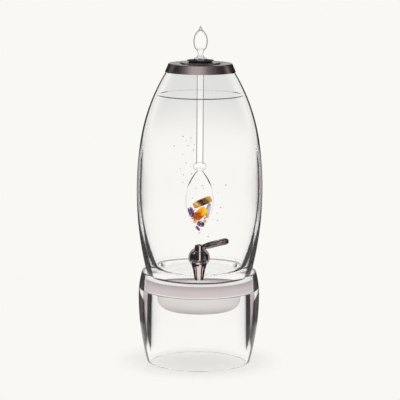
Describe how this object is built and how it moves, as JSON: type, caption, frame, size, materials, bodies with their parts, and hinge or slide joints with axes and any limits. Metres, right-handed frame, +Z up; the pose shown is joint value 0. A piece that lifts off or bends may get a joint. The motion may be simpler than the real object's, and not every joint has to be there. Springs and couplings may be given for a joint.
{
  "type": "glass water dispenser",
  "caption": "Barrel-shaped glass water vessel with a lever tap, a steel lid carrying a glass vial of stones, and a frosted dish in a thick glass stand.",
  "frame": {"origin": "middle of the stand's foot ring, on the table", "axes": "+Z up through the finial, the tap points to -Y, +X to the right of someone who faces the tap"},
  "size_m": [0.2102, 0.2374, 0.5661],
  "materials": {
    "clear_glass": "clear, thick, polished",
    "thin_glass": "clear, thin, blown",
    "clear_silicone": "clear to milky",
    "frosted_dish": "satin, frosted",
    "dark_chrome": "polished, dark",
    "satin_lever": "satin, dark",
    "steel": "machined",
    "satin_steel": "brushed round",
    "brass": "turned",
    "black_rubber": "matt",
    "banded_stone": "polished banded stone",
    "orange_stone": "polished clear stone",
    "purple_stone": "polished stone",
    "pale_stone": "polished milky stone",
    "chip_stone": "polished chips"
  },
  "bodies": {
    "stand": {"stand_glass": "clear_glass", "ledge_pad": "clear_silicone"},
    "dish": {"cooling_dish": "frosted_dish"},
    "cover": {"cooling_dish_cover": "frosted_dish", "vessel_pad": "clear_silicone"},
    "vessel": {"vessel_glass": "clear_glass", "tap_body": "dark_chrome", "tap_flange": "dark_chrome", "tap_front_gasket": "clear_silicone", "tap_rear_gasket": "clear_silicone", "tap_rear_washer": "steel", "tap_nut": "steel", "tap_bonnet": "dark_chrome"},
    "lid": {"lid_shell": "satin_steel", "lid_seal": "clear_silicone", "vial_bush": "black_rubber", "finial": "thin_glass", "vial_tube": "thin_glass", "gem_vial": "thin_glass", "banded_stone": "banded_stone", "orange_stone": "orange_stone", "purple_stones": "purple_stone", "pale_stone": "pale_stone", "stone_chips": "chip_stone"},
    "lever": {"tap_lever": "satin_lever", "tap_plug": "brass", "tap_plug_rings": "black_rubber", "tap_lever_screw": "dark_chrome"}
  },
  "joints": [
    {"name": "dish_lift", "type": "slide", "parent": "stand", "child": "dish", "axis": [0, 0, 1], "range_m": [0, 0.07]},
    {"name": "cover_lift", "type": "slide", "parent": "dish", "child": "cover", "axis": [0, 0, 1], "range_m": [0, 0.06]},
    {"name": "vessel_lift", "type": "slide", "parent": "cover", "child": "vessel", "axis": [0, 0, 1], "range_m": [0, 0.06]},
    {"name": "lid_lift", "type": "slide", "parent": "vessel", "child": "lid", "axis": [0, 0, 1], "range_m": [0, 0.3]},
    {"name": "lever_turn", "type": "hinge", "parent": "vessel", "child": "lever", "pos_m": [0, -0.12, 0.1951], "axis": [0, 0, -1], "range_deg": [0, 90]}
  ]
}
